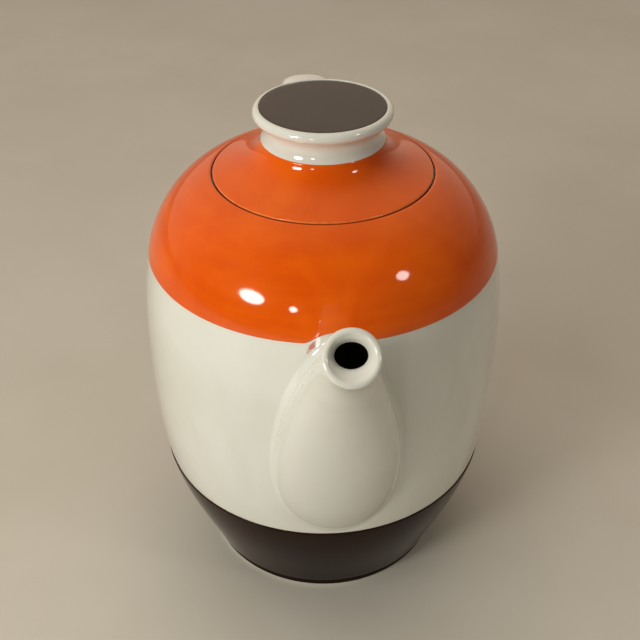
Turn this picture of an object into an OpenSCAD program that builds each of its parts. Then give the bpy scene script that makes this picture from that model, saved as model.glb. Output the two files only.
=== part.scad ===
// Porcelain coffee pot: a barrel body with a beak spout and a strap handle, and a lid that lifts off.
// The foot stands on z = 0 with its centre at the origin. The spout points along -Y, the handle along +Y.

/* [Body] */
// Outer radius of the wall where the orange glaze ends
band_r = 61.6; // [51:0.1:75]
// Lean of the wall where the orange glaze ends, from vertical
band_tilt = 13; // [8:1:18]
// Height of the orange shoulder
shoulder_h = 28.5; // [24:0.5:34]
// Height of the white belly
belly_h = 84.5; // [70:0.5:102]
// Height of the brown base
base_h = 48; // [40:0.5:58]
// How far the belly stands out beyond the band radius
belly_bulge = 3.5; // [2.8:0.1:4.4]
// Height of the belly's widest place above the brown base
belly_rise = 42; // [35:1:50]
// Outer radius of the wall where the brown glaze starts
hip_r = 62; // [55:0.1:70]
// Spread of the wall where the brown glaze starts, from vertical
hip_tilt = 10.5; // [8:0.5:13]
// Spread of the wall just above the foot, from vertical
heel_tilt = 20; // [16:1:24]
// Thickness of the wall
wall = 3.2; // [2.6:0.1:3.9]
// Thickness of the floor
floor_t = 4; // [3.2:0.1:5]

/* [Foot] */
// Outer radius of the foot ring
foot_r = 46; // [38:0.5:51]
// Height of the foot ring outside
foot_h = 5.5; // [4.5:0.1:6.6]
// Width of the foot ring's resting face
foot_w = 4; // [3.3:0.1:4.8]
// Depth of the hollow inside the foot ring
foot_recess = 3.5; // [2.9:0.1:3.9]
// Step from the foot ring out to the wall above it
heel_step = 1.4; // [1.1:0.1:1.7]
// Rounding of the foot ring's outer edge
foot_round = 1.2; // [1:0.1:1.5]

/* [Lid seat] */
// Lean of the shoulder at the edge of the lid opening, from vertical
rim_tilt = 68; // [62:1:74]
// Width of the ledge that the lid rests on
ledge_w = 3; // [2.5:0.1:3.6]
// Thickness of the ledge
ledge_t = 3.6; // [3:0.1:4.4]

/* [Lid] */
// Outer radius of the lid
lid_r = 37.6; // [31:0.1:45.2]
// How far the lid rises from its edge to the knob
lid_rise = 11.8; // [9.8:0.1:14.2]
// Air between the lid's edge and the opening
lid_gap = 0.6; // [0.5:0.1:0.8]
// Air between the lid and its ledge
seat_gap = 0.1; // [0.05:0.01:0.2]
// Thickness of the lid
lid_t = 3.2; // [2.6:0.1:3.9]
// Depth of the collar below the ledge
collar_depth = 12; // [10:0.5:14.5]
// Thickness of the collar
collar_t = 3; // [2.5:0.1:3.6]
// Air between the collar and the throat of the opening
collar_gap = 0.8; // [0.6:0.1:1]

/* [Knob] */
// Outer radius of the lid where the knob's neck stands on it
neck_r = 20.5; // [17:0.1:24.6]
// How far the neck draws in between its foot and the rim
neck_waist = 1.2; // [1:0.1:1.5]
// Height of the knob above the lid
knob_h = 11.2; // [9.3:0.1:13.5]
// How far the knob's rim stands out beyond the lid's neck
rim_overhang = 2.9; // [2.4:0.1:3.5]
// Thickness of the knob's rim
rim_t = 3.9; // [3.3:0.1:4.6]
// Thickness of the knob's top
knob_t = 3.4; // [2.8:0.1:4]

/* [Spout] */
// Height of the lip's centre above the orange line
lip_up = 23.8; // [19.8:0.1:28.6]
// How far the lip's centre stands out beyond the band radius
lip_out = 37.6; // [31.3:0.1:45.2]
// Rise of the lip's axis above the horizontal
lip_angle = 43; // [36:1:50]
// Outer radius of the lip
lip_r = 8.3; // [7.4:0.1:10]
// Radius of the bore behind the lip
bore_r = 4.7; // [4:0.1:5.2]
// Outer radius of the spout's neck, just below the lip
spout_neck_r = 7.2; // [6.6:0.1:8.6]
// Half width of the spout's root
root_half_w = 21.3; // [17.5:0.1:26]
// Gap from the brown base up to the spout's root
root_low_gap = 1.5; // [1:0.1:5]
// Gap from the spout's root up to the orange shoulder
root_high_gap = 1; // [0.6:0.1:5]
// How far the white of the spout climbs into the orange shoulder
notch_rise = 3.7; // [3.5:0.1:5]
// Radius of that notch in the orange glaze
notch_r = 15; // [12.5:0.5:18]
// Wall thickness of the spout at its root
spout_wall = 3.2; // [2.6:0.1:3.9]
// Radius of the pouring hole through the body wall
pour_hole_r = 13; // [10.8:0.1:15.6]
// Height of the pouring hole's centre above the brown base
pour_hole_rise = 38; // [32:1:42]

/* [Handle] */
// Depth of the handle's upper root below the orange line
upper_root_down = 13.5; // [11.3:0.1:16.2]
// Height of the handle's lower root above the brown base
lower_root_up = 12; // [10:0.5:14.5]
// How far the handle's crest stands out beyond the band radius
crest_out = 24.4; // [20.3:0.1:29.3]
// Height of the crest above the orange line, along the middle of the strap
crest_up = 21; // [17.5:0.1:25.2]
// How far the handle's outermost place stands out beyond the band radius
grip_out = 44.4; // [37:0.1:53.3]
// Depth of the outermost place below the orange line
grip_down = 5.5; // [4.5:0.1:6.6]
// Width of the strap
strap_w = 20.5; // [17:0.5:24.6]
// Thickness of the strap
strap_t = 9; // [7.5:0.5:10.8]
// Spread of the strap's ends where they meet the wall
root_flare = 3; // [2.5:0.1:3.6]

/* [Glaze] */
// Thickness of the coloured glazes
glaze_t = 0.4; // [0.3:0.05:0.5]

/* [Hidden] */
$fn = 96;

porcelain = "#dedac8";
orange = "#d74e00";
brown = "#1e0e09";

curve_reach = 0.36;     // handle length of every outline curve, as a share of its chord
seam_overlap = 0.5;     // how far the cutting shapes run past the faces that they open
root_sink = 0.3;        // how deep the spout's and the handle's ends are pressed into the wall

hip_z = base_h;
belly_z = hip_z + belly_rise;
band_z = hip_z + belly_h;
rim_z = band_z + shoulder_h;
neck_z = rim_z + lid_rise;
knob_z = neck_z + knob_h;
opening_r = lid_r + lid_gap;
throat_r = opening_r - ledge_w;
ledge_z = rim_z - lid_t;
collar_r = throat_r - collar_gap;
floor_z = foot_recess + floor_t;
heel_r = foot_r + heel_step;
seat_z = ledge_z + seat_gap;
hollow_r = neck_r - lid_t;
rim_c_r = neck_r + rim_overhang - rim_t / 2;
rim_c_z = knob_z - rim_t / 2;
dish_r = rim_c_r - 0.2;

// ---- outlines, as [radius, height] points ----

// Direction of an outline that leans inwards by this angle as it rises
function lean(tilt) = [-sin(tilt), cos(tilt)];

// Smooth curve from a to b that leans by the two tilts at its ends
function curve(a, tilt_a, b, tilt_b, steps) =
    let (reach = curve_reach * norm(b - a), p = a + reach * lean(tilt_a), q = b - reach * lean(tilt_b))
    [for (i = [0:steps]) let (t = i / steps, s = 1 - t)
        s * s * s * a + 3 * s * s * t * p + 3 * s * t * t * q + t * t * t * b];

// The points of a list from one index to another
function slice(list, from, to) = [for (i = [from:to]) list[i]];

function reversed(list) = [for (i = [len(list) - 1:-1:0]) list[i]];

// Unit normal of an outline at one of its points, on the outline's right-hand side
function normal_at(list, i) =
    let (a = list[max(i - 1, 0)], b = list[min(i + 1, len(list) - 1)], d = (b - a) / norm(b - a))
    [d.y, -d.x];

// The outline moved outwards by a distance, or inwards if it is negative
function moved(list, distance) = [for (i = [0:len(list) - 1]) list[i] + distance * normal_at(list, i)];

foot_points = [[foot_r - foot_round, 0], [foot_r, foot_round], [foot_r, foot_h - foot_round / 2]];
base_points = curve([heel_r, foot_h], -heel_tilt, [hip_r, hip_z], -hip_tilt, 8);
lower_belly = curve([hip_r, hip_z], -hip_tilt, [band_r + belly_bulge, belly_z], 0, 7);
upper_belly = curve([band_r + belly_bulge, belly_z], 0, [band_r, band_z], band_tilt, 8);
shoulder_points = curve([band_r, band_z], band_tilt, [opening_r, rim_z], rim_tilt, 14);

// The whole outer wall, from the resting face to the lid opening
wall_points = concat(foot_points, base_points, slice(lower_belly, 1, 7), slice(upper_belly, 1, 8),
    slice(shoulder_points, 1, 14));
heel_i = len(foot_points);
hip_i = heel_i + 8;
band_i = hip_i + 15;
rim_i = band_i + 14;

// Outer radius of the wall at a height
wall_table = [for (p = slice(wall_points, heel_i, rim_i)) [p.y, p.x]];
function wall_r(z) = lookup(z, wall_table);

lid_points = curve([lid_r, rim_z], rim_tilt, [neck_r, neck_z], 12, 10);

// ---- shapes of revolution ----

module turned(points) {
    rotate_extrude() polygon(points);
}

// A coat of glaze on a stretch of an outline, cut off level at a height
module coat(points, from, to, top) {
    turned(concat(slice(points, from, to),
        [for (p = reversed(slice(moved(points, glaze_t), from, to))) [p.x, min(p.y, top)]]));
}

// Tool for a round hole through the front of the wall
module front_hole(z, r) {
    translate([0, 0, z]) rotate([90, 0, 0]) cylinder(r = r, h = 2 * band_r);
}

module body() {
    color(porcelain) difference() {
        turned(concat([[0, 0]], wall_points, [[0, rim_z]]));
        intersection() {
            turned(concat([[0, 0]], slice(moved(wall_points, -wall), heel_i, rim_i), [[0, rim_z]]));
            translate([0, 0, floor_z]) cylinder(r = 2 * band_r, h = ledge_z - ledge_t - floor_z);
        }
        translate([0, 0, ledge_z - ledge_t - seam_overlap]) cylinder(r = throat_r, h = rim_z);
        translate([0, 0, ledge_z]) cylinder(r = opening_r, h = rim_z);
        translate([0, 0, -foot_recess]) cylinder(r = foot_r - foot_w, h = 2 * foot_recess);
        front_hole(hip_z + pour_hole_rise, pour_hole_r);
    }
}

module shoulder_glaze() {
    color(orange) difference() {
        coat(wall_points, band_i, rim_i, rim_z + glaze_t);
        front_hole(band_z + notch_rise - notch_r, notch_r);
    }
}

module base_glaze() {
    color(brown) coat(wall_points, 1, hip_i, hip_z);
}

module lid() {
    collar_mid_r = collar_r - collar_t / 2;
    under = [for (p = moved(lid_points, -lid_t)) if (p.x < collar_mid_r && p.y < neck_z) p];
    color(porcelain) union() {
        turned(concat([[lid_r, seat_z]], lid_points, [[hollow_r, neck_z]], reversed(under),
            [[collar_mid_r, seat_z]]));
        turned([[collar_r - collar_t, ledge_z - collar_depth], [collar_r, ledge_z - collar_depth],
            [collar_r, seat_z + lid_t / 2], [collar_r - collar_t, seat_z + lid_t / 2]]);
    }
}

module lid_glaze() {
    color(orange) coat(lid_points, 0, len(lid_points) - 1, neck_z);
}

module knob() {
    foot = [neck_r + glaze_t, neck_z];
    waist = [neck_r + glaze_t - neck_waist, (neck_z + rim_c_z - rim_t / 2) / 2];
    rim_low = [rim_c_r, rim_c_z - rim_t / 2];
    rim_arc = [for (a = [-75:15:90]) [rim_c_r + rim_t / 2 * cos(a), rim_c_z + rim_t / 2 * sin(a)]];
    color(porcelain) turned(concat([[hollow_r, neck_z]], curve(foot, 30, waist, 0, 4),
        slice(curve(waist, 0, rim_low, -80, 5), 1, 5), rim_arc,
        [[dish_r, knob_z - glaze_t], [0, knob_z - glaze_t], [0, knob_z - glaze_t - knob_t],
            [hollow_r, knob_z - glaze_t - knob_t]]));
}

module knob_glaze() {
    color(brown) translate([0, 0, knob_z - glaze_t]) cylinder(r = dish_r, h = glaze_t * 0.75);
}

// ---- lofted shapes ----

// Closed skin over rings of points. A ring is joined to the next one, and the last to the first if looped,
// or else the end rings are closed by a fan to their middle point.
module skin(rings, looped, first_mid, last_mid) {
    n = len(rings[0]);
    m = len(rings);
    spans = looped ? m : m - 1;
    sides = [for (j = [0:spans - 1], i = [0:n - 1])
        let (k = (i + 1) % n, next = ((j + 1) % m) * n, a = j * n + i, b = j * n + k, c = next + k, d = next + i)
        each [[a, c, b], [a, d, c]]];
    caps = looped ? [] : [for (i = [0:n - 1]) each [[m * n, i, (i + 1) % n],
        [m * n + 1, (m - 1) * n + (i + 1) % n, (m - 1) * n + i]]];
    polyhedron(concat([for (r = rings) each r], looped ? [] : [first_mid, last_mid]), concat(sides, caps));
}

function mix(a, b, t) = a + (b - a) * t;

// Cubic from a to b with the end slopes u and v
function hermite(a, u, b, v, t) =
    (2 * t * t * t - 3 * t * t + 1) * a + (t * t * t - 2 * t * t + t) * u
    + (3 * t * t - 2 * t * t * t) * b + (t * t * t - t * t) * v;

spout_sides = 32;
spout_steps = 9;
front_swell = 14;       // how strongly the spout swells out of the wall before it rises to the lip
side_swell = 5;         // how strongly its sides swell
lip_pull = 0.6;         // how long the spout keeps to the lip's own direction
egg = 0.25;             // how much narrower the root is at its top than at its bottom
lip_round = 1.2;        // rounding of the lip's edge
funnel = 3.4;           // depth of the slope from the lip down to the bore
neck_back = 7;          // how far the neck lies behind the lip
lip_centre = [0, -band_r - lip_out, band_z + lip_up];
lip_axis = [0, -cos(lip_angle), sin(lip_angle)];
lip_top = [0, sin(lip_angle), cos(lip_angle)];
root_half_h = (belly_h - root_low_gap - root_high_gap) / 2;
root_mid_z = hip_z + root_low_gap + root_half_h;

// Point of the spout's root on the wall, inset by a margin
function root_point(a, inset) =
    let (x = (root_half_w - inset) * cos(a) * (1 - egg * sin(a)),
        z = root_mid_z + (root_half_h - inset) * sin(a), r = wall_r(z) - root_sink)
    [x, -sqrt(r * r - x * x), z];

// Point of a circle around the lip's axis, s along the axis from the lip centre
function lip_point(a, s, r) =
    lip_centre + s * lip_axis + r * (cos(a) * [1, 0, 0] + sin(a) * lip_top);

function ring_angles() = [for (i = [0:spout_sides - 1]) i * 360 / spout_sides];

// Rings from the root to a circle of radius r behind the lip
function spout_rings(inset, s, r) =
    [for (j = [0:spout_steps]) [for (a = ring_angles())
        let (p = root_point(a, inset), q = lip_point(a, s, r), chord = q - p)
        hermite(p, chord + [side_swell * cos(a), -front_swell, 0], q, lip_pull * norm(chord) * lip_axis,
            j / spout_steps)]];

// Rings around the lip: its rounded edge, then the funnel down to the bore
lip_profile = concat([[-neck_back / 2, mix(spout_neck_r, lip_r, 0.15)]],
    [for (b = [-30:30:180]) [lip_round * (sin(b) - 1), lip_r + lip_round * (cos(b) - 1)]],
    [[-funnel, bore_r + 0.5]]);

module spout() {
    outer = spout_rings(0, -neck_back, spout_neck_r);
    lip = [for (p = lip_profile) [for (a = ring_angles()) lip_point(a, p.x, p.y)]];
    inner = reversed(spout_rings(spout_wall, -funnel - 1.5, bore_r));
    color(porcelain) skin(concat(outer, lip, inner), true);
}

strap_sides = 20;
strap_steps = 8;        // rings in each of the strap's three stretches

// Middle line of the strap as [distance from the axis, height]
upper_root = [wall_r(band_z - upper_root_down) - root_sink, band_z - upper_root_down];
crest = [band_r + crest_out, band_z + crest_up];
grip = [band_r + grip_out, band_z - grip_down];
lower_root = [wall_r(hip_z + lower_root_up) - root_sink, hip_z + lower_root_up];

function strap_stretch(a, dir_a, b, dir_b, pull) =
    let (reach = pull * norm(b - a))
    [for (i = [0:strap_steps]) hermite(a, reach * dir_a, b, reach * dir_b, i / strap_steps)];

strap_line = concat(
    slice(strap_stretch(upper_root, [cos(55), sin(55)], crest, [1, 0], 1.1), 0, strap_steps - 1),
    slice(strap_stretch(crest, [1, 0], grip, [0, -1], 1.3), 0, strap_steps - 1),
    strap_stretch(grip, [0, -1], lower_root, [-cos(28), -sin(28)], 1.1));

// Softly squared cosine and sine, for the strap's section
function soft(v) = sign(v) * pow(abs(v), 0.85);

function strap_ring(j) =
    let (last = len(strap_line) - 1, c = strap_line[j], n = normal_at(strap_line, j),
        ends = min(j, last - j), spread = root_flare * pow(0.45, ends), on_wall = ends == 0)
    [for (i = [0:strap_sides - 1])
        let (a = i * 360 / strap_sides, x = -(strap_w / 2 + spread) * soft(cos(a)),
            d = (strap_t / 2 + spread) * soft(sin(a)), z = c.y + (j == 0 ? d : -d),
            r = wall_r(z) - root_sink)
        on_wall ? [x, sqrt(r * r - x * x), z] : [x, c.x - n.x * d, c.y - n.y * d]];

module handle() {
    rings = [for (j = [0:len(strap_line) - 1]) strap_ring(j)];
    color(porcelain) skin(rings, false, [0, upper_root.x, upper_root.y], [0, lower_root.x, lower_root.y]);
}

body();
shoulder_glaze();
base_glaze();
spout();
handle();
lid();
lid_glaze();
knob();
knob_glaze();
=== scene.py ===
"""Porcelain coffee pot with an orange shoulder, a white belly, a brown base and a lift-off lid.

Every size is in millimetres until a mesh is placed, and in metres from then on. The pot stands on z = 0,
its spout points along -Y and its handle along +Y.
"""

import logging
import math
from bisect import bisect_left
from dataclasses import dataclass, field
from enum import Enum
from typing import Sequence

import bpy
from mathutils import Matrix, Vector


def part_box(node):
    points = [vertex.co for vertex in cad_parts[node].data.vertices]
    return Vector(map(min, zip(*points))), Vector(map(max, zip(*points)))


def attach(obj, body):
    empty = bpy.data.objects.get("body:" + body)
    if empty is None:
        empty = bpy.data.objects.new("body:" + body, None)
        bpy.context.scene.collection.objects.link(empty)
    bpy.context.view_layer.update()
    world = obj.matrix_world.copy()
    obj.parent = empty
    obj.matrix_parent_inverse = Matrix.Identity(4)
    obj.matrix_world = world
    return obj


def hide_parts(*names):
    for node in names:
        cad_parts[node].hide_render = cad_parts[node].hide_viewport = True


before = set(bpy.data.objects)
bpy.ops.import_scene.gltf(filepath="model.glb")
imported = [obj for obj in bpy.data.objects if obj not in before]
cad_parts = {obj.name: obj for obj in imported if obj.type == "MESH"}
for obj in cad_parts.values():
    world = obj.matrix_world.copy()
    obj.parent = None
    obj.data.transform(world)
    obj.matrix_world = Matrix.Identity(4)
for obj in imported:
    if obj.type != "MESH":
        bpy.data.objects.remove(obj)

LOG = logging.getLogger("coffee_pot")
MM = 0.001
Point = tuple[float, float]
Ring = list[Vector]


class Body(Enum):
    """The CAD bodies that the pieces ride on."""

    POT = "pot"
    LID = "lid"


class Slot(Enum):
    """The record's material slots."""

    WHITE = "white_porcelain"
    ORANGE = "orange_glaze"
    BROWN = "brown_glaze"


# ---------------------------------------------------------------- outlines, as (radius, height) points


def lean(tilt: float) -> Vector:
    """Direction of an outline that leans inwards by tilt degrees as it rises."""
    return Vector((-math.sin(math.radians(tilt)), math.cos(math.radians(tilt))))


def curve(a: Point, tilt_a: float, b: Point, tilt_b: float, steps: int) -> list[Point]:
    """Smooth curve between two points of an outline.

    Args:
        a: The first point.
        tilt_a: Inward lean at the first point, in degrees.
        b: The last point.
        tilt_b: Inward lean at the last point, in degrees.
        steps: How many stretches the curve is cut into.

    Returns:
        The points of the curve, both ends included.
    """
    start, end = Vector(a), Vector(b)
    reach = 0.36 * (end - start).length
    p, q = start + reach * lean(tilt_a), end - reach * lean(tilt_b)
    points = []
    for i in range(steps + 1):
        t = i / steps
        s = 1 - t
        points.append(tuple(s**3 * start + 3 * s * s * t * p + 3 * s * t * t * q + t**3 * end))
    return points


def arc(centre: Point, radius: float, first: float, last: float, steps: int) -> list[Point]:
    """Arc of an outline.

    Args:
        centre: Centre of the arc.
        radius: Radius of the arc.
        first: Angle of the first point in degrees, 0 pointing away from the axis and 90 up.
        last: Angle of the last point in degrees.
        steps: How many stretches the arc is cut into.

    Returns:
        The points of the arc.
    """
    angles = [math.radians(first + (last - first) * i / steps) for i in range(steps + 1)]
    return [(centre[0] + radius * math.cos(a), centre[1] + radius * math.sin(a)) for a in angles]


def bend(a: Vector, corner: Vector, b: Vector, t: float) -> Vector:
    """Point at t from 0 to 1 of a curve that rounds off a corner between a and b."""
    return (1 - t) ** 2 * a + 2 * t * (1 - t) * corner + t * t * b


def softened(corners: Sequence[tuple[float, float, float]], steps: int = 5) -> list[Point]:
    """Outline with rounded corners.

    Args:
        corners: Each corner's radius from the axis, height, and rounding. A rounding of 0 keeps the point.
        steps: How many stretches each rounding is cut into.

    Returns:
        The points of the outline.
    """
    points: list[Point] = []
    for i, (r, z, size) in enumerate(corners):
        if size <= 0 or i in (0, len(corners) - 1):
            points.append((r, z))
            continue
        here = Vector((r, z))
        back = Vector(corners[i - 1][:2]) - here
        on = Vector(corners[i + 1][:2]) - here
        p = here + back.normalized() * min(size, 0.45 * back.length)
        q = here + on.normalized() * min(size, 0.45 * on.length)
        points += [tuple(bend(p, here, q, k / steps)) for k in range(steps + 1)]
    return points


def side_normals(points: Sequence[Point]) -> list[Vector]:
    """Unit normals of an outline, on its right-hand side as it is walked."""
    last = len(points) - 1
    normals = []
    for i in range(last + 1):
        d = (Vector(points[min(i + 1, last)]) - Vector(points[max(i - 1, 0)])).normalized()
        normals.append(Vector((d.y, -d.x)))
    return normals


def moved_in(points: Sequence[Point], distance: float) -> list[Point]:
    """Outline moved by a distance to its left-hand side as it is walked, which is its inside here."""
    return [(r - n.x * distance, z - n.y * distance) for (r, z), n in zip(points, side_normals(points))]


def at_stations(points: Sequence[Point], stations: Sequence[float]) -> list[Point]:
    """Points of an outline at given distances along it.

    Args:
        points: The outline.
        stations: Distances from the outline's first point.

    Returns:
        One point for each distance.
    """
    run = [0.0]
    for a, b in zip(points, points[1:]):
        run.append(run[-1] + math.dist(a, b))
    found = []
    for s in stations:
        i = min(max(bisect_left(run, s), 1), len(run) - 1)
        t = (s - run[i - 1]) / (run[i] - run[i - 1])
        found.append(tuple(Vector(points[i - 1]).lerp(Vector(points[i]), t)))
    return found


def length_of(points: Sequence[Point]) -> float:
    """Length of an outline."""
    return sum(math.dist(a, b) for a, b in zip(points, points[1:]))


# How far what lies on a surface reaches below it, so that its edges come out of it cleanly, in millimetres
SINK = 0.12


def coat_outline(points: Sequence[Point], thickness: float, edge: float, pitch: float) -> list[Point]:
    """Closed outline of a glaze coat that thins out in a round edge at both ends.

    Args:
        points: The outline under the coat, walked with its outside on the right.
        thickness: Thickness of the coat.
        edge: How far from its end the coat reaches its full thickness.
        pitch: Distance between the points away from the ends.

    Returns:
        The points, the first one repeated at the end.
    """
    total = length_of(points)
    count = max(2, round((total - 2 * edge) / pitch))
    near = [edge * (1 - math.cos(math.radians(k * 15))) for k in range(6)]
    stations = near + [edge + (total - 2 * edge) * k / count for k in range(count + 1)]
    stations += [total - s for s in reversed(near)]
    under = at_stations(points, stations)
    inner, outer = moved_in(under, SINK), []
    for (r, z), n, s in zip(under, side_normals(under), stations):
        rise = min(s, total - s, edge) / edge
        swell = (thickness + SINK) * math.sqrt(1 - (1 - rise) ** 2) - SINK
        outer.append((r + n.x * swell, z + n.y * swell))
    return [*inner, *reversed(outer[1:-1]), inner[0]]


# ---------------------------------------------------------------- mesh operations


def only(obj: bpy.types.Object) -> None:
    """Select one object alone and make it the active one."""
    if bpy.context.object and bpy.context.object.mode != "OBJECT":
        bpy.ops.object.mode_set(mode="OBJECT")
    bpy.ops.object.select_all(action="DESELECT")
    obj.select_set(True)
    bpy.context.view_layer.objects.active = obj


def tidy(obj: bpy.types.Object, crease: float = 38.0) -> bpy.types.Object:
    """Weld a mesh, turn its faces outwards and shade it smooth up to an angle.

    Args:
        obj: The piece.
        crease: Edges sharper than this angle in degrees stay sharp.

    Returns:
        The piece.
    """
    only(obj)
    bpy.ops.object.mode_set(mode="EDIT")
    bpy.ops.mesh.select_all(action="SELECT")
    bpy.ops.mesh.remove_doubles(threshold=2e-6)
    bpy.ops.mesh.normals_make_consistent(inside=False)
    bpy.ops.object.mode_set(mode="OBJECT")
    bpy.ops.object.shade_smooth_by_angle(angle=math.radians(crease))
    return obj


def turned(name: str, outline: Sequence[Point], sides: int) -> bpy.types.Object:
    """Piece turned around the axis: one vertex is extruded along the outline and the line is spun.

    Args:
        name: Name of the piece.
        outline: The outline in millimetres. It is closed, or both its ends lie on the axis.
        sides: How many steps the spin takes.

    Returns:
        The piece.
    """
    bpy.ops.object.select_all(action="DESELECT")
    bpy.ops.mesh.primitive_plane_add(size=MM)
    obj = bpy.context.object
    obj.name = obj.data.name = name
    bpy.ops.object.mode_set(mode="EDIT")
    bpy.ops.mesh.merge(type="CENTER")
    bpy.ops.transform.translate(value=(outline[0][0] * MM, 0, outline[0][1] * MM))
    for a, b in zip(outline, outline[1:]):
        step = ((b[0] - a[0]) * MM, 0, (b[1] - a[1]) * MM)
        bpy.ops.mesh.extrude_region_move(TRANSFORM_OT_translate={"value": step})
    bpy.ops.mesh.select_all(action="SELECT")
    bpy.ops.mesh.remove_doubles(threshold=1e-6)
    bpy.ops.mesh.spin(steps=sides, angle=math.tau, center=(0, 0, 0), axis=(0, 0, 1))
    return tidy(obj)


def lofted(name: str, rings: Sequence[Ring], looped: bool) -> bpy.types.Object:
    """Piece with a skin over rings of points.

    A circle is extruded once for each ring, and each vertex is then put where its ring says: an egg-shaped
    ring that lies on a curved wall can't be had by moving, turning and scaling a circle.

    Args:
        name: Name of the piece.
        rings: Rings with the same number of points, in millimetres.
        looped: Whether the last ring joins the first one. Otherwise both end rings are capped.

    Returns:
        The piece.
    """
    count = len(rings[0])
    bpy.ops.object.select_all(action="DESELECT")
    bpy.ops.mesh.primitive_circle_add(vertices=count, radius=1)
    obj = bpy.context.object
    obj.name = obj.data.name = name
    bpy.ops.object.mode_set(mode="EDIT")
    for _ in rings[1:]:
        bpy.ops.mesh.extrude_region_move(TRANSFORM_OT_translate={"value": (0, 0, 1)})
    bpy.ops.mesh.select_all(action="DESELECT")
    bpy.ops.object.mode_set(mode="OBJECT")
    levels = [round(vertex.co.z) for vertex in obj.data.vertices]
    ends = (0, len(rings) - 1)
    for edge in obj.data.edges:
        a, b = (levels[v] for v in edge.vertices)
        edge.select = a == b and a in ends
    for vertex, level in zip(obj.data.vertices, levels):
        turn = math.atan2(vertex.co.y, vertex.co.x) / math.tau
        vertex.select = level in ends
        vertex.co = rings[level][round(turn * count) % count] * MM
    bpy.ops.object.mode_set(mode="EDIT")
    if looped:
        bpy.ops.mesh.bridge_edge_loops()
    else:
        bpy.ops.mesh.edge_face_add()
    return tidy(obj)


def cut(obj: bpy.types.Object, centre: tuple[float, float, float], radius: float, length: float) -> None:
    """Bore a round hole along Y through a piece.

    Args:
        obj: The piece.
        centre: Middle of the hole, in millimetres.
        radius: Radius of the hole, in millimetres.
        length: Length of the cutting cylinder, in millimetres.
    """
    bpy.ops.object.select_all(action="DESELECT")
    bpy.ops.mesh.primitive_cylinder_add(vertices=64, radius=radius * MM, depth=length * MM,
                                        location=Vector(centre) * MM, rotation=(math.pi / 2, 0, 0))
    tool = bpy.context.object
    only(obj)
    modifier = obj.modifiers.new("bore", "BOOLEAN")
    modifier.object = tool
    modifier.operation = "DIFFERENCE"
    bpy.ops.object.modifier_apply(modifier=modifier.name)
    bpy.data.objects.remove(tool)


def hermite(a: Vector, u: Vector, b: Vector, v: Vector, t: float) -> Vector:
    """Cubic from a to b with the end slopes u and v, at t from 0 to 1."""
    return ((2 * t**3 - 3 * t * t + 1) * a + (t**3 - 2 * t * t + t) * u
            + (3 * t * t - 2 * t**3) * b + (t**3 - t * t) * v)


def fillet_rings(foot: Ring, corner: Ring, end: Ring, steps: int) -> list[Ring]:
    """Rings of a hollow fillet that leaves the wall at one ring and reaches the piece at another.

    Args:
        foot: Where the fillet leaves the wall.
        corner: Where the piece would meet the wall without a fillet.
        end: Where the fillet meets the piece.
        steps: How many stretches the fillet is cut into.

    Returns:
        The rings, the first one being the foot. The end ring isn't among them.
    """
    return [[bend(f, c, e, k / steps) for f, c, e in zip(foot, corner, end)] for k in range(steps)]


# ---------------------------------------------------------------- shared sizes


@dataclass
class Wall:
    """The outer wall of the body, from the foot ring up to the lid's opening.

    Lengths are in millimetres, and a tilt is the wall's lean from the vertical in degrees.
    """

    hip_z: float
    band_z: float
    rim_z: float
    band_r: float = 61.6
    band_tilt: float = 13.0
    belly_bulge: float = 3.5
    belly_rise: float = 42.0
    hip_r: float = 62.0
    hip_tilt: float = 10.5
    heel_r: float = 47.4
    heel_tilt: float = 20.0
    foot_h: float = 5.5
    opening_r: float = 38.2
    rim_tilt: float = 68.0
    glaze_t: float = 0.4
    base: list[Point] = field(init=False)
    belly: list[Point] = field(init=False)
    shoulder: list[Point] = field(init=False)
    heights: tuple[float, ...] = field(init=False)
    radii: tuple[float, ...] = field(init=False)

    def __post_init__(self) -> None:
        """Work out the three stretches of the wall and its table of radii."""
        wide = (self.band_r + self.belly_bulge, self.hip_z + self.belly_rise)
        hip, band = (self.hip_r, self.hip_z), (self.band_r, self.band_z)
        self.base = curve((self.heel_r, self.foot_h), -self.heel_tilt, hip, -self.hip_tilt, 40)
        self.belly = curve(hip, -self.hip_tilt, wide, 0, 36)[:-1] + curve(wide, 0, band, self.band_tilt, 36)
        self.shoulder = curve(band, self.band_tilt, (self.opening_r, self.rim_z), self.rim_tilt, 56)
        self.radii, self.heights = zip(*self.outside())

    def outside(self) -> list[Point]:
        """The whole wall, from the foot ring to the lid's opening."""
        return self.base[:-1] + self.belly[:-1] + self.shoulder

    def radius(self, z: float) -> float:
        """Outer radius of the wall at a height."""
        i = min(max(bisect_left(self.heights, z), 1), len(self.heights) - 1)
        low, high = self.heights[i - 1], self.heights[i]
        t = min(max((z - low) / (high - low), 0), 1)
        return self.radii[i - 1] + (self.radii[i] - self.radii[i - 1]) * t

    def on_wall(self, x: float, z: float, side: int, sink: float) -> Vector:
        """Point of the wall at a height and a distance from the middle plane.

        Args:
            x: Distance from the middle plane.
            z: Height.
            side: -1 for the spout's side and 1 for the handle's.
            sink: How far under the surface the point lies.

        Returns:
            The point.
        """
        r = self.radius(z) - sink
        return Vector((x, side * math.sqrt(r * r - x * x), z))


def high(node: str, axis: int) -> float:
    """Highest coordinate of a CAD node along an axis, in millimetres."""
    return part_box(node)[1][axis] / MM


def low(node: str, axis: int) -> float:
    """Lowest coordinate of a CAD node along an axis, in millimetres."""
    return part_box(node)[0][axis] / MM


# ---------------------------------------------------------------- sub-assemblies


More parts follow.
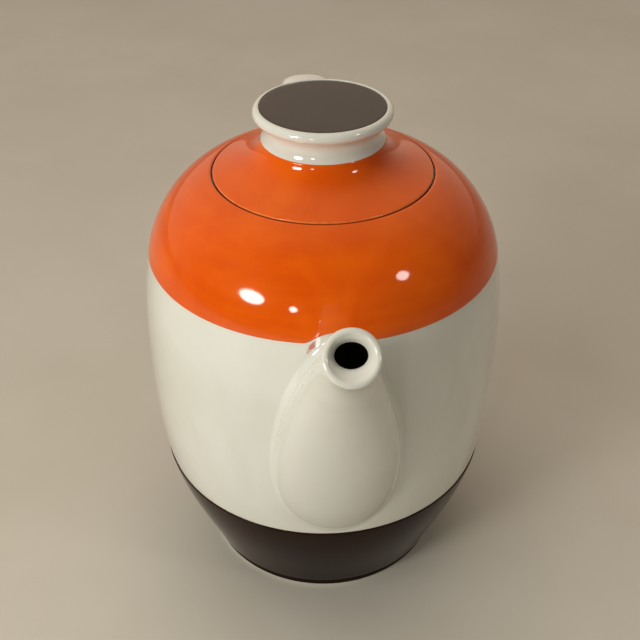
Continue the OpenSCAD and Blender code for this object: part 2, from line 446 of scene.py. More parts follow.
@dataclass
class Piece:
    """A finished mesh with what it stands for."""

    obj: bpy.types.Object
    node: str
    body: Body
    slot: Slot
    material: bpy.types.Material

    def place(self) -> None:
        """Give the piece its material and body, and hide the CAD node that it stands for."""
        self.obj.data.materials.clear()
        self.obj.data.materials.append(self.material)
        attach(self.obj, self.body.value)
        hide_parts(self.node)
        LOG.info("%s: %d faces", self.obj.name, len(self.obj.data.polygons))


@dataclass
class Barrel:
    """The cast body with its foot ring, ledge and pouring hole, and the two glaze coats on it.

    Lengths are in millimetres. The notch is where the orange coat's edge climbs over the root of the spout:
    an arc of radius notch_r that is notch_rise high.
    """

    wall: Wall
    thickness: float = 3.2
    floor_t: float = 4.0
    foot_r: float = 46.0
    foot_w: float = 4.0
    foot_recess: float = 3.5
    ledge_w: float = 3.0
    ledge_t: float = 3.6
    ledge_drop: float = 3.2
    hole_r: float = 13.0
    hole_rise: float = 38.0
    notch_rise: float = 3.7
    notch_r: float = 15.0
    notch_fade: float = 14.0
    coat_edge: float = 0.7
    sides: int = 192

    def body(self) -> bpy.types.Object:
        """Build the casting."""
        w = self.wall
        ledge_z = w.rim_z - self.ledge_drop
        throat_r = w.opening_r - self.ledge_w
        floor_z = self.foot_recess + self.floor_t
        inner_r = self.foot_r - self.foot_w
        outside = w.outside()
        inside = [p for p in moved_in(outside, self.thickness) if floor_z + 3 < p[1] < ledge_z - self.ledge_t]
        under = softened([(0, self.foot_recess, 0), (inner_r, self.foot_recess, 1.2), (inner_r, 0, 0.5),
                          (self.foot_r, 0, 1.2), (self.foot_r, w.foot_h, 0.5), (*outside[0], 0)])
        top = softened([(*outside[-1], 0), (w.opening_r, w.rim_z - 0.05, 0), (w.opening_r, ledge_z, 0.4),
                        (throat_r, ledge_z, 0.5), (throat_r, ledge_z - self.ledge_t, 0.8),
                        (inside[-1][0] - 0.5, ledge_z - self.ledge_t, 0), (*inside[-1], 0)])
        bottom = softened([(*inside[0], 0), (inside[0][0] - 1.5, floor_z, 4), (0, floor_z, 0)])
        outline = under[:-1] + outside + top[1:] + list(reversed(inside))[1:] + bottom[1:]
        obj = turned("pot_body", outline, self.sides)
        cut(obj, (0, -w.band_r, w.hip_z + self.hole_rise), self.hole_r, w.band_r)
        return tidy(obj)

    def shoulder_coat(self) -> bpy.types.Object:
        """Build the orange coat, whose lower edge climbs over the root of the spout."""
        w = self.wall
        outline = coat_outline(w.shoulder, w.glaze_t, self.coat_edge, 0.9)
        obj = turned("shoulder_coat", outline, round(1.5 * self.sides))
        for vertex in obj.data.vertices:
            x, y, z = (c / MM for c in vertex.co)
            if y > 0 or abs(x) > self.notch_r + 4 or z > w.band_z + self.notch_fade:
                continue
            rise = math.sqrt(max(self.notch_r**2 - x * x, 0)) - self.notch_r + self.notch_rise
            # The notch's two corners are softened, and its rise fades out up the shoulder.
            rise = 0.5 * (rise + math.sqrt(rise * rise + 0.5)) - 0.15
            rise = max(rise, 0) * (1 - max(z - w.band_z, 0) / self.notch_fade) ** 2
            grow = (w.radius(z + rise) - w.radius(z)) / math.hypot(x, y)
            vertex.co = Vector((x * (1 + grow), y * (1 + grow), z + rise)) * MM
        return tidy(obj, 60)

    def base_coat(self) -> bpy.types.Object:
        """Build the dark coat from the foot ring up to the belly."""
        w = self.wall
        foot = softened([(self.foot_r, 1.1, 0), (self.foot_r, w.foot_h, 0.6), (*w.base[0], 0)])
        outline = coat_outline(foot[:-1] + w.base, w.glaze_t, self.coat_edge, 1.0)
        return turned("base_coat", outline, self.sides)


@dataclass
class Spout:
    """The hollow beak spout, from its root on the wall to its lip.

    Lengths are in millimetres and angles in degrees. The root lies between the two gaps and is narrower
    at its top by egg. The swells say how strongly the side bellies out of the wall, and lip_pull how long
    it keeps to the lip's own direction. The fillet has one width at the root's bottom and one at its top.
    """

    wall: Wall
    lip_centre: Vector
    lip_angle: float = 43.0
    lip_r: float = 8.3
    bore_r: float = 4.7
    neck_r: float = 7.2
    neck_back: float = 7.0
    half_w: float = 21.3
    low_gap: float = 1.5
    high_gap: float = 1.0
    thickness: float = 3.2
    front_swell: float = 14.0
    side_swell: float = 5.0
    lip_pull: float = 0.6
    egg: float = 0.25
    lip_round: float = 1.2
    funnel: float = 3.4
    fillet_low: float = 1.7
    fillet_high: float = 4.0
    groove: float = 0.4
    bore_flat: float = 0.79
    bore_shift: float = 0.95
    sides: int = 96
    steps: int = 44
    inner_steps: int = 20

    def root(self, a: float, inset: float, sink: float) -> Vector:
        """Point of the root's outline on the wall.

        Args:
            a: Angle around the outline.
            inset: How far inside the outline the point lies.
            sink: How far under the wall's surface it lies.

        Returns:
            The point.
        """
        half_h = (self.wall.band_z - self.wall.hip_z - self.low_gap - self.high_gap) / 2
        middle = self.wall.hip_z + self.low_gap + half_h
        x = (self.half_w - inset) * math.cos(a) * (1 - self.egg * math.sin(a))
        return self.wall.on_wall(x, middle + (half_h - inset) * math.sin(a), -1, sink)

    def tip(self) -> tuple[Vector, Vector]:
        """Direction of the lip's axis, and the direction at right angles to it that points up."""
        c, s = math.cos(math.radians(self.lip_angle)), math.sin(math.radians(self.lip_angle))
        return Vector((0, -c, s)), Vector((0, s, c))

    def around(self, a: float, s: float, r: float) -> Vector:
        """Point of a circle around the lip's axis.

        Args:
            a: Angle around the axis.
            s: Distance along the axis from the lip's centre.
            r: Radius of the circle.

        Returns:
            The point.
        """
        axis, top = self.tip()
        return self.lip_centre + s * axis + r * (math.cos(a) * Vector((1, 0, 0)) + math.sin(a) * top)

    def oval(self, a: float, s: float, r: float, share: float = 1.0) -> Vector:
        """Point of the bore's oval, which lies a little above the lip's axis.

        Args:
            a: Angle around the axis.
            s: Distance along the axis from the lip's centre.
            r: Half width of the oval.
            share: 0 for a circle around the axis and 1 for the bore's own oval.

        Returns:
            The point.
        """
        flat = (1 - self.bore_flat) * share * r * math.sin(a)
        return self.around(a, s, r) + (self.bore_shift * share - flat) * self.tip()[1]

    def along(self, a: float, inset: float, s: float, r: float, t: float) -> Vector:
        """Point of the spout's side.

        Args:
            a: Angle around the spout.
            inset: Inset of the root.
            s: Where the side ends along the lip's axis.
            r: Radius at that end.
            t: Share of the way from the root to the end.

        Returns:
            The point.
        """
        p, q = self.root(a, inset, 0.1), self.around(a, s, r)
        slope = q - p + Vector((self.side_swell * math.cos(a), -self.front_swell, 0))
        return hermite(p, slope, q, self.lip_pull * (q - p).length * self.tip()[0], t)

    def outside(self, angles: Sequence[float]) -> list[Ring]:
        """Rings of the fillet on the wall, the groove above it, and the spout's side up to its neck.

        Args:
            angles: Angles of the rings' points.

        Returns:
            The rings, from the wall to the neck.
        """
        neck = (-self.neck_back, self.neck_r)
        reaches, starts, foot = [], [], []
        for a in angles:
            # The fillet is wide at the top of the root and narrow at its bottom.
            top_share = max(0.0, min(1.0, 0.5 + 0.9 * math.sin(a))) ** 2
            size = self.fillet_low + (self.fillet_high - self.fillet_low) * top_share
            reaches.append((self.around(a, *neck) - self.root(a, 0, 0)).length + self.front_swell)
            starts.append(1.1 * size / reaches[-1])
            foot.append(self.root(a, -size, SINK))
        # The slip that joins the spout to the wall ends in a groove: distances and shares of its depth.
        groove = [(0.0, 0.1), (0.15, 0.6), (0.3, 1.0), (0.5, 0.9), (0.75, 0.45), (1.1, 0.12), (1.6, 0.0),
                  (2.3, 0.0)]
        rings = [[self.along(a, self.groove * depth, *neck, t + far / reach)
                  for a, t, reach in zip(angles, starts, reaches)] for far, depth in groove]
        past = [t + groove[-1][0] / reach for t, reach in zip(starts, reaches)]
        for k in range(1, self.steps + 1):
            share = (k / self.steps) ** 1.2
            rings.append([self.along(a, 0, *neck, t + (1 - t) * share) for a, t in zip(angles, past)])
        return [*fillet_rings(foot, [self.root(a, 0, 0) for a in angles], rings[0], 7), *rings]

    def mouth(self, angles: Sequence[float]) -> list[Ring]:
        """Rings of the flared lip, its rounded edge and the funnel that slopes down to the oval bore.

        Args:
            angles: Angles of the rings' points.

        Returns:
            The rings, from the neck to the bore.
        """
        flare = [(-5.6, 7.22), (-4.4, 7.32), (-3.4, 7.5), (-2.6, 7.77)]
        flare += [(s - self.lip_round, self.lip_r - self.lip_round + r)
                  for r, s in arc((0, 0), self.lip_round, -30, 120, 10)]
        funnel = [(-0.55, 6.25, 0.1), (-1.0, 5.8, 0.35), (-1.7, 5.35, 0.65), (-2.4, 5.0, 0.9),
                  (-2.9, self.bore_r + 0.08, 1.0), (-3.15, self.bore_r - 0.05, 1.0),
                  (-self.funnel, self.bore_r - 0.1, 1.0)]
        rings = [[self.around(a, s, r) for a in angles] for s, r in flare]
        return rings + [[self.oval(a, s, r, share) for a in angles] for s, r, share in funnel]

    def inside(self, angles: Sequence[float]) -> list[Ring]:
        """Rings of the channel, from the bore back to the root.

        Args:
            angles: Angles of the rings' points.

        Returns:
            The rings. They change from the bore's oval to plain circles over the first five steps.
        """
        rings = []
        for k in range(self.inner_steps + 1):
            ring = []
            for a in angles:
                shift = self.oval(a, 0, self.bore_r, max(0.0, 1 - k / 5)) - self.around(a, 0, self.bore_r)
                t = 1 - k / self.inner_steps
                ring.append(self.along(a, self.thickness, -self.funnel - 0.6, self.bore_r - 0.1, t) + shift)
            rings.append(ring)
        return rings

    def build(self) -> bpy.types.Object:
        """Build the spout and store how deep each of its vertices lies inside."""
        angles = [math.tau * i / self.sides for i in range(self.sides)]
        mouth, inside = self.mouth(angles), self.inside(angles)
        obj = lofted("pot_spout", [*self.outside(angles), *mouth, *inside], looped=True)
        # How deep each vertex lies in the bore; the material paints shade from it.
        depths = {tuple(round(c, 2) for c in p): 0.2 for p in mouth[-1]}
        for k, ring in enumerate(inside):
            depths.update({tuple(round(c, 2) for c in p): min(1.0, 0.6 + 0.2 * k) for p in ring})
        bore_shade_depth = obj.data.attributes.new("bore_shade_depth", "FLOAT", "POINT")
        for vertex in obj.data.vertices:
            place = tuple(round(c / MM, 2) for c in vertex.co)
            bore_shade_depth.data[vertex.index].value = depths.get(place, 0.0)
        return obj


@dataclass
class Handle:
    """The strap handle, which rises from the shoulder, turns over its crest and comes back to the belly.

    Lengths are in millimetres and angles in degrees. The strap thickens towards its ends by flare, which
    fades over flare_fade. The two clear shares say where the strap ends and its fillets take over.
    """

    wall: Wall
    crest: Point
    grip: Point
    upper_down: float = 13.5
    lower_up: float = 12.0
    upper_rise: float = 55.0
    lower_fall: float = 28.0
    width: float = 20.5
    thickness: float = 9.0
    corner_power: float = 0.85
    flare: float = 3.2
    flare_fade: float = 8.0
    flare_side_share: float = 0.15
    upper_clear: float = 0.24
    lower_clear: float = 0.13
    fillet_side: float = 2.6
    fillet_up: float = 2.8
    fillet_reach: float = 7.0
    sides: int = 88
    steps: int = 26

    def line(self) -> list[Point]:
        """Middle line of the strap as (distance from the axis, height) points."""
        w = self.wall
        upper_z, lower_z = w.band_z - self.upper_down, w.hip_z + self.lower_up
        upper, lower = (w.radius(upper_z), upper_z), (w.radius(lower_z), lower_z)
        up, down = math.radians(self.upper_rise), math.radians(self.lower_fall)
        away, back = (math.cos(up), math.sin(up)), (-math.cos(down), -math.sin(down))
        stretches = [(upper, away, self.crest, (1, 0), 1.1), (self.crest, (1, 0), self.grip, (0, -1), 1.3),
                     (self.grip, (0, -1), lower, back, 1.1)]
        points: list[Point] = []
        for a, leave, b, arrive, pull in stretches:
            reach = pull * math.dist(a, b)
            p, u, q, v = Vector(a), reach * Vector(leave), Vector(b), reach * Vector(arrive)
            points += [tuple(hermite(p, u, q, v, i / self.steps)) for i in range(self.steps)]
        return [*points, lower]

    def section(self, centre: Point, normal: Vector, spread: float) -> Ring:
        """Ring of the strap's section.

        Args:
            centre: Middle of the section.
            normal: Direction of the section's thickness.
            spread: How much thicker the strap is on each side than in its middle.

        Returns:
            The ring.
        """
        ring = []
        for i in range(self.sides):
            a = math.tau * i / self.sides
            c, s = (math.copysign(abs(v) ** self.corner_power, v) for v in (math.cos(a), math.sin(a)))
            x = -(self.width / 2 + self.flare_side_share * spread) * c
            d = -(self.thickness / 2 + spread) * s
            ring.append(Vector((x, centre[0] + normal.x * d, centre[1] + normal.y * d)))
        return ring

    def on_to_wall(self, ring: Ring, direction: Vector) -> Ring:
        """Ring slid along a direction until it meets the wall, found by halving the way."""
        met = []
        for p in ring:
            near, far = 0.0, 30.0
            for _ in range(24):
                middle = (near + far) / 2
                q = p + direction * middle
                outside = math.hypot(q.x, q.y) > self.wall.radius(q.z)
                near, far = (middle, far) if outside else (near, middle)
            met.append(p + direction * near)
        return met

    def end_rings(self, end: Ring, direction: Vector) -> list[Ring]:
        """Rings of the fillet between the wall and one end of the strap.

        Args:
            end: The strap's ring where the fillet ends.
            direction: Direction from that ring to the wall.

        Returns:
            The rings, from the wall to the strap.
        """
        corner = self.on_to_wall(end, direction)
        middle = sum((p.z for p in corner), 0.0) / len(corner)
        foot, top = [], []
        for before, p, after, e in zip(corner[-1:] + corner[:-1], corner, corner[1:] + corner[:1], end):
            out = Vector((after.z - before.z, before.x - after.x)).normalized()
            if out.dot(Vector((p.x, p.z - middle))) < 0:
                out = -out
            x, z = p.x + out.x * self.fillet_side, p.z + out.y * self.fillet_up
            foot.append(self.wall.on_wall(x, z, 1, SINK))
            top.append(p.lerp(e, min(0.85, self.fillet_reach / (e - p).length)))
        return [*fillet_rings(foot, corner, top, 16), top]

    def build(self) -> bpy.types.Object:
        """Build the handle, whose strap ends a little clear of the wall, where the fillets take over."""
        line = self.line()
        normals = side_normals(line)
        first = round(self.steps * self.upper_clear)
        last = len(line) - 1 - round(self.steps * self.lower_clear)
        rings = []
        for i in range(first, last + 1):
            far = min(length_of(line[:i + 1]), length_of(line[i:]))
            rings.append(self.section(line[i], normals[i], self.flare * 0.5 ** (far / self.flare_fade)))
        start = Vector((0, *(Vector(line[first - 1]) - Vector(line[first])))).normalized()
        end = Vector((0, *(Vector(line[last + 1]) - Vector(line[last])))).normalized()
        upper, lower = self.end_rings(rings[0], start), self.end_rings(rings[-1], end)
        return lofted("pot_handle", [*upper, *rings, *reversed(lower)], looped=False)


@dataclass
class Lid:
    """The lid with its collar, its orange coat, and the hollow knob with its dark disc, in millimetres."""

    rim_z: float
    neck_z: float
    knob_z: float
    collar_z: float
    lid_r: float
    rim_r: float
    rim_tilt: float = 68.0
    thickness: float = 3.2
    seat_gap: float = 0.1
    collar_r: float = 34.4
    collar_t: float = 3.0
    neck_r: float = 20.5
    neck_waist: float = 1.2
    rim_t: float = 3.9
    top_t: float = 3.4
    dish: float = 0.2
    glaze_t: float = 0.4
    disc_t: float = 0.3
    disc_gap: float = 0.12
    sides: int = 176

    def slope(self) -> list[Point]:
        """Outline of the lid's top, from its edge to the knob's neck."""
        return curve((self.lid_r, self.rim_z), self.rim_tilt, (self.neck_r, self.neck_z), 12, 40)

    def shell(self) -> bpy.types.Object:
        """Build the casting with its collar."""
        seat = self.rim_z - self.thickness + self.seat_gap
        slope = self.slope()
        hollow_r = self.neck_r - self.thickness
        collar_in = self.collar_r - self.collar_t
        under = [p for p in moved_in(slope, self.thickness)
                 if hollow_r < p[0] < collar_in - 0.6 and p[1] < self.neck_z - 0.3]
        edge = (self.lid_r, self.rim_z - 0.2)
        collar = softened([(*under[0], 0), (collar_in, under[0][1] - 0.6, 1), (collar_in, self.collar_z, 1),
                           (self.collar_r, self.collar_z, 1), (self.collar_r, seat, 0.4),
                           (self.lid_r, seat, 0.5), (*edge, 0)])
        outline = [edge, *slope, (hollow_r, self.neck_z), *reversed(under), *collar[1:]]
        return turned("lid_shell", outline, self.sides)

    def coat(self) -> bpy.types.Object:
        """Build the orange coat on the lid's top."""
        return turned("lid_coat", coat_outline(self.slope(), self.glaze_t, 0.6, 0.7), self.sides)

    def knob(self) -> bpy.types.Object:
        """Build the hollow neck and the rim around the disc."""
        rim_c = (self.rim_r - self.rim_t / 2, self.knob_z - self.rim_t / 2)
        foot = (self.neck_r + self.glaze_t, self.neck_z)
        waist = (foot[0] - self.neck_waist, (self.neck_z + rim_c[1] - self.rim_t / 2) / 2)
        low_rim = (rim_c[0], rim_c[1] - self.rim_t / 2)
        dish_r, dish_z = rim_c[0] - self.dish, self.knob_z - self.glaze_t
        hollow_r = self.neck_r - self.thickness
        outline = [(0, dish_z - self.top_t), (hollow_r, dish_z - self.top_t), (hollow_r, self.neck_z)]
        outline += curve(foot, 30, waist, 0, 14)[:-1] + curve(waist, 0, low_rim, -80, 16)
        outline += arc(rim_c, self.rim_t / 2, -78, 90, 26)
        outline += softened([(*rim_c, 0), (rim_c[0], self.knob_z, 0), (dish_r, self.knob_z - 0.02, 0.15),
                             (dish_r, dish_z, 0.1), (0, dish_z, 0)])[2:]
        return turned("lid_knob", outline, self.sides)

    def disc(self) -> bpy.types.Object:
        """Build the dark disc in the knob's top."""
        r = self.rim_r - self.rim_t / 2 - self.dish - self.disc_gap
        low_z = self.knob_z - self.glaze_t
        top_z = low_z + self.disc_t
        outline = softened([(0, low_z, 0), (r, low_z, 0.03), (r, low_z + 0.1, 0.08),
                            (r - 0.3, top_z - 0.06, 0.25), (r - 1.1, top_z, 0.5), (0, top_z, 0)])
        return turned("knob_disc", outline, self.sides)


# ---------------------------------------------------------------- finishes


def linear(code: str) -> tuple[float, float, float, float]:
    """Linear colour of an sRGB hex code."""
    parts = [int(code[i:i + 2], 16) / 255 for i in (1, 3, 5)]
    return (*[c / 12.92 if c <= 0.04045 else ((c + 0.055) / 1.055) ** 2.4 for c in parts], 1.0)


class Graph:
    """A material's nodes, with coordinates in millimetres on the piece."""

    def __init__(self, name: str) -> None:
        """Start an empty material and its object coordinates."""
        self.material = bpy.data.materials.new(name)
        self.material.use_nodes = True
        self.tree = self.material.node_tree
        self.tree.nodes.clear()
        place = self.add("ShaderNodeTexCoord")
        self.mm = self.add("ShaderNodeVectorMath", {0: place.outputs["Object"], "Scale": 1 / MM},
                           operation="SCALE").outputs[0]
        split = self.add("ShaderNodeSeparateXYZ", {0: self.mm})
        self.x, self.y, self.z = split.outputs

    def add(self, kind: str, inputs: dict | None = None, **settings: object) -> bpy.types.Node:
        """Add a node, set its properties, and set or link its inputs.

        Args:
            kind: Type name of the node.
            inputs: Values or output sockets by input name or index.
            **settings: Properties of the node.

        Returns:
            The node.
        """
        node = self.tree.nodes.new(kind)
        for key, value in settings.items():
            setattr(node, key, value)
        for key, value in (inputs or {}).items():
            if isinstance(value, bpy.types.NodeSocket):
                self.tree.links.new(value, node.inputs[key])
            else:
                node.inputs[key].default_value = value
        return node

    def math(self, operation: str, a: object, b: object = 0.0, c: object = 0.0) -> bpy.types.NodeSocket:
        """Result of a math node."""
        return self.add("ShaderNodeMath", {0: a, 1: b, 2: c}, operation=operation).outputs[0]

    def noise(self, size: float, detail: float = 3.0, stretch: tuple[float, float, float] | None = None,
              warp: float = 0.0) -> bpy.types.NodeSocket:
        """Noise whose features have a size in millimetres.

        Args:
            size: Size of the features.
            detail: How many finer layers are added.
            stretch: Scale of the coordinates along each axis.
            warp: Distortion of the noise.

        Returns:
            The noise's value.
        """
        place = self.mm
        if stretch:
            stretched = self.add("ShaderNodeVectorMath", {0: self.mm, 1: stretch}, operation="MULTIPLY")
            place = stretched.outputs[0]
        return self.add("ShaderNodeTexNoise", {"Vector": place, "Scale": 1 / size, "Detail": detail,
                                               "Roughness": 0.55, "Distortion": warp}).outputs["Fac"]

    def ramp(self, value: bpy.types.NodeSocket, start: float, end: float, low: float = 0.0,
             top: float = 1.0) -> bpy.types.NodeSocket:
        """Smooth step of a value.

        Args:
            value: What is mapped.
            start: Where the step starts.
            end: Where it ends.
            low: Result at the start.
            top: Result at the end.

        Returns:
            The mapped value.
        """
        limits = {"Value": value, "From Min": start, "From Max": end, "To Min": low, "To Max": top}
        return self.add("ShaderNodeMapRange", limits, interpolation_type="SMOOTHSTEP").outputs[0]

    def mix(self, share: object, a: object, b: object) -> bpy.types.NodeSocket:
        """Colour between two others."""
        node = self.add("ShaderNodeMix", data_type="RGBA")
        for socket, value in ((node.inputs[0], share), (node.inputs[6], a), (node.inputs[7], b)):
            if isinstance(value, bpy.types.NodeSocket):
                self.tree.links.new(value, socket)
            else:
                socket.default_value = value
        return node.outputs[2]

    def specks(self, spacing: float, size: float, share: float) -> bpy.types.NodeSocket:
        """Mask of sparse round specks.

        Args:
            spacing: Distance between possible specks in millimetres.
            size: Radius of the largest speck in millimetres.
            share: How many of the possible specks show.

        Returns:
            The mask, 1 on a speck.
        """
        cells = self.add("ShaderNodeTexVoronoi", {"Vector": self.mm, "Scale": 1 / spacing})
        chance = self.add("ShaderNodeSeparateColor", {0: cells.outputs["Color"]}).outputs[0]
        radius = self.math("MULTIPLY", self.ramp(chance, 0, share, 1, 0), size / spacing)
        edge = self.math("SUBTRACT", radius, cells.outputs["Distance"])
        return self.ramp(edge, 0, 0.25 * size / spacing)

    def times(self, *factors: object) -> bpy.types.NodeSocket:
        """Product of several masks or numbers."""
        result = factors[0]
        for factor in factors[1:]:
            result = self.math("MULTIPLY", result, factor)
        return result

    def between(self, value: bpy.types.NodeSocket, low_end: float, top_end: float) -> bpy.types.NodeSocket:
        """Mask that is 1 where a value lies between two ends."""
        return self.times(self.math("GREATER_THAN", value, low_end), self.math("LESS_THAN", value, top_end))

    def near(self, value: bpy.types.NodeSocket, place: float, reach: float) -> bpy.types.NodeSocket:
        """Mask that is 1 where a value is at a place and 0 beyond a reach from it."""
        return self.ramp(self.math("ABSOLUTE", self.math("SUBTRACT", value, place)), 0, reach, 1, 0)

    def either(self, *masks: bpy.types.NodeSocket) -> bpy.types.NodeSocket:
        """The largest of several masks."""
        result = masks[0]
        for mask in masks[1:]:
            result = self.math("MAXIMUM", result, mask)
        return result

    def radius(self) -> bpy.types.NodeSocket:
        """Distance from the pot's axis in millimetres."""
        return self.math("SQRT", self.math("ADD", self.times(self.x, self.x), self.times(self.y, self.y)))


@dataclass(frozen=True)
class Glaze:
    """What every fired glaze here shares: how its surface waves, and how it shines."""

    name: str
    wave_mm: float = 16.0
    wave_depth: float = 0.012
    peel_mm: float = 1.5
    peel_depth: float = 0.0007
    gloss: float = 0.09
    wear: float = 0.05
    coat: float = 1.0
    ior: float = 1.5
    mirror: float = 0.5

    def surface(self, g: Graph, colour: bpy.types.NodeSocket, bare: bpy.types.NodeSocket | None = None,
                pits: bpy.types.NodeSocket | None = None) -> bpy.types.Material:
        """Finish the material from its colour.

        Args:
            g: The material's nodes.
            colour: The colour.
            bare: Mask of the places without glaze, which are matt and grainy.
            pits: Mask of pinholes.

        Returns:
            The material.
        """
        # A clear gloss lies on the colour. Slow waves and a fine peel bend its highlights, and use dulls it.
        height = g.math("ADD", g.times(g.noise(self.wave_mm, 2), self.wave_depth),
                        g.times(g.noise(self.peel_mm, 2), self.peel_depth))
        if pits is not None:
            height = g.math("SUBTRACT", height, g.times(pits, 0.03))
        rough = g.ramp(g.noise(21, 5, warp=0.6), 0.42, 0.72, self.gloss, self.gloss + self.wear)
        gloss_share: object = self.coat
        if bare is not None:
            height = g.math("ADD", height, g.times(g.noise(0.35, 4), bare, 0.03))
            rough = g.math("ADD", rough, g.times(bare, 0.6))
            gloss_share = g.times(g.math("SUBTRACT", 1.0, bare), self.coat)
        bump = g.add("ShaderNodeBump", {"Height": height, "Distance": MM, "Strength": 1.0}).outputs[0]
        shader = g.add("ShaderNodeBsdfPrincipled", {
            "Base Color": colour, "Roughness": rough, "IOR": self.ior, "Specular IOR Level": self.mirror,
            "Normal": bump, "Coat Weight": gloss_share, "Coat Roughness": 0.035, "Coat IOR": 1.5,
            "Coat Normal": bump})
        g.add("ShaderNodeOutputMaterial", {"Surface": shader.outputs[0]})
        return g.material


@dataclass(frozen=True)
class ClearGlazedPorcelain(Glaze):
    """White porcelain under a clear glaze, with a few dark specks, and bare where it rested in the kiln.

    Lengths are in millimetres. A bare ring is given by its inner and outer radius and its lowest and highest
    place, and the painted shade in the seam by its inner and outer radius and the height that it reaches down
    to.
    """

    white: str = "#dddcd1"
    warm: str = "#d8d6c9"
    biscuit: str = "#e6dfd0"
    sand: str = "#cfc4ae"
    speck: str = "#6b5a45"
    tint: str = "#9a7650"
    # The next two colours are painted shade in the spout's bore, brown at its mouth and near black deep
    # inside.
    bore_shade_light: str = "#b59a7c"
    bore_shade_deep: str = "#120a06"
    # Painted shade in the seam between lid and body, orange-brown.
    seam_shade: str = "#a8400c"
    smear: str = "#c2481c"
    bare_rings: tuple[tuple[float, float, float, float], ...] = ()
    seam_shade_ring: tuple[float, float, float] | None = None
    tide: float | None = None
    smear_at: tuple[float, float] | None = None
    has_bore_shade: bool = False

    def build(self) -> bpy.types.Material:
        """Build the material."""
        g = Graph(self.name)
        # The glaze pools a little warmer in slow clouds, and a few iron specks show through it.
        colour = g.mix(g.ramp(g.noise(38, 4, warp=0.8), 0.35, 0.7), linear(self.white), linear(self.warm))
        colour = g.mix(g.times(g.specks(17, 0.22, 0.22), 0.75), colour, linear(self.speck))
        bare = self.bare(g)
        if bare is not None:
            grain = g.mix(g.ramp(g.noise(0.6, 4), 0.4, 0.7), linear(self.biscuit), linear(self.sand))
            colour = g.mix(bare, colour, grain)
        if self.seam_shade_ring is not None:
            # Painted shade: an orange-brown ring darkens the seam between lid and body.
            inner, outer, above = self.seam_shade_ring
            level = g.math("ADD", g.z, g.times(g.noise(2.5, 3), 0.8))
            ring = g.times(g.between(g.radius(), inner, outer), g.ramp(level, above, above + 0.6))
            colour = g.mix(ring, colour, linear(self.seam_shade))
        if self.tide is not None:
            # Old coffee tints the inside up to a ragged tide line.
            level = g.math("ADD", g.z, g.times(g.noise(14, 4), 9))
            inside = g.math("LESS_THAN", g.radius(), 58.6)
            stain = g.times(g.ramp(level, self.tide, self.tide + 5, 0.3, 0), inside, g.ramp(g.z, 6, 7.4))
            colour = g.mix(stain, colour, linear(self.tint))
        if self.smear_at is not None:
            colour = g.mix(self.brush_mark(g), colour, linear(self.smear))
        if self.has_bore_shade:
            # Painted shade: the stored depth darkens the bore, brown at its mouth and near black deep inside.
            depth = g.add("ShaderNodeAttribute", attribute_name="bore_shade_depth").outputs["Fac"]
            bore_shade = g.mix(g.ramp(depth, 0.1, 0.6), linear(self.bore_shade_light), linear(self.bore_shade_deep))
            colour = g.mix(g.ramp(depth, 0.0, 0.22), colour, bore_shade)
        return self.surface(g, colour, bare, g.specks(9, 0.12, 0.3))

    def bare(self, g: Graph) -> bpy.types.NodeSocket | None:
        """Mask of the rings of bare biscuit, with slightly ragged edges, or None if there are none."""
        masks = []
        for inner, outer, low_z, top_z in self.bare_rings:
            ragged = g.times(g.math("SUBTRACT", g.noise(2.2, 3), 0.5), 0.5)
            level = g.math("ADD", g.z, ragged)
            height = g.times(g.ramp(level, low_z, low_z + 0.12), g.ramp(level, top_z, top_z + 0.12, 1, 0))
            masks.append(g.times(height, g.between(g.radius(), inner, outer)))
        return g.either(*masks) if masks else None

    def brush_mark(self, g: Graph) -> bpy.types.NodeSocket:
        """Mask of a small slanted smear beside the spout, as the orange brush left it."""
        x, z = self.smear_at
        up = g.times(g.math("SUBTRACT", g.z, z), 0.42)
        skew = g.math("SUBTRACT", g.math("SUBTRACT", g.x, x), g.times(up, 1.5))
        far = g.math("SQRT", g.math("ADD", g.times(skew, skew), g.times(up, up)))
        far = g.math("ADD", far, g.times(g.math("SUBTRACT", g.noise(1.1, 3), 0.5), 2.4))
        return g.times(g.ramp(far, 0.35, 1.15, 0.8, 0), g.math("LESS_THAN", g.y, 0))


@dataclass(frozen=True)
class ColouredGlaze(Glaze):
    """An opaque coloured glaze that is deep where it pools and turns to an edge tone along its edges.

    Its edges are given by their heights and radii in millimetres, and it has one at least.
    """

    gloss: float = 0.055
    coat: float = 0.0
    ior: float = 1.47
    deep: str = "#d84f00"
    light: str = "#e66004"
    # The edge tone. The pale orange default stands for glaze running thin and is also a painted highlight on
    # the edge.
    edge_tone: str = "#e8935a"
    speck: str = "#7c2a06"
    edge_z: tuple[float, ...] = ()
    edge_r: tuple[float, ...] = ()
    edge_reach: float = 0.4
    edge_share: float = 0.55

    def build(self) -> bpy.types.Material:
        """Build the material."""
        g = Graph(self.name)
        # Slow clouds, and finer streaks drawn round the pot by the banding wheel, shift the colour.
        clouds = g.ramp(g.noise(30, 4, warp=0.7), 0.35, 0.68)
        streaks = g.ramp(g.noise(9, 3, (0.18, 0.18, 2.2)), 0.35, 0.7)
        share = g.math("ADD", g.times(clouds, 0.7), g.times(streaks, 0.3))
        colour = g.mix(share, linear(self.deep), linear(self.light))
        colour = g.mix(g.times(g.specks(11, 0.16, 0.2), 0.6), colour, linear(self.speck))
        # Along its edges the coat turns to its edge tone in a ragged line. On the orange coats that pale line
        # is glaze running thin and also a painted highlight on the edge; the brown base turns paler along its
        # upper edge, and the disc darker at its edge.
        ragged = g.times(g.math("SUBTRACT", g.noise(1.7, 4), 0.5), 0.9)
        level, radius = g.math("ADD", g.z, ragged), g.math("ADD", g.radius(), ragged)
        edges = [g.near(level, z, self.edge_reach) for z in self.edge_z]
        edges += [g.near(radius, r, self.edge_reach) for r in self.edge_r]
        colour = g.mix(g.times(g.either(*edges), self.edge_share), colour, linear(self.edge_tone))
        return self.surface(g, colour, None, g.specks(7, 0.1, 0.3))


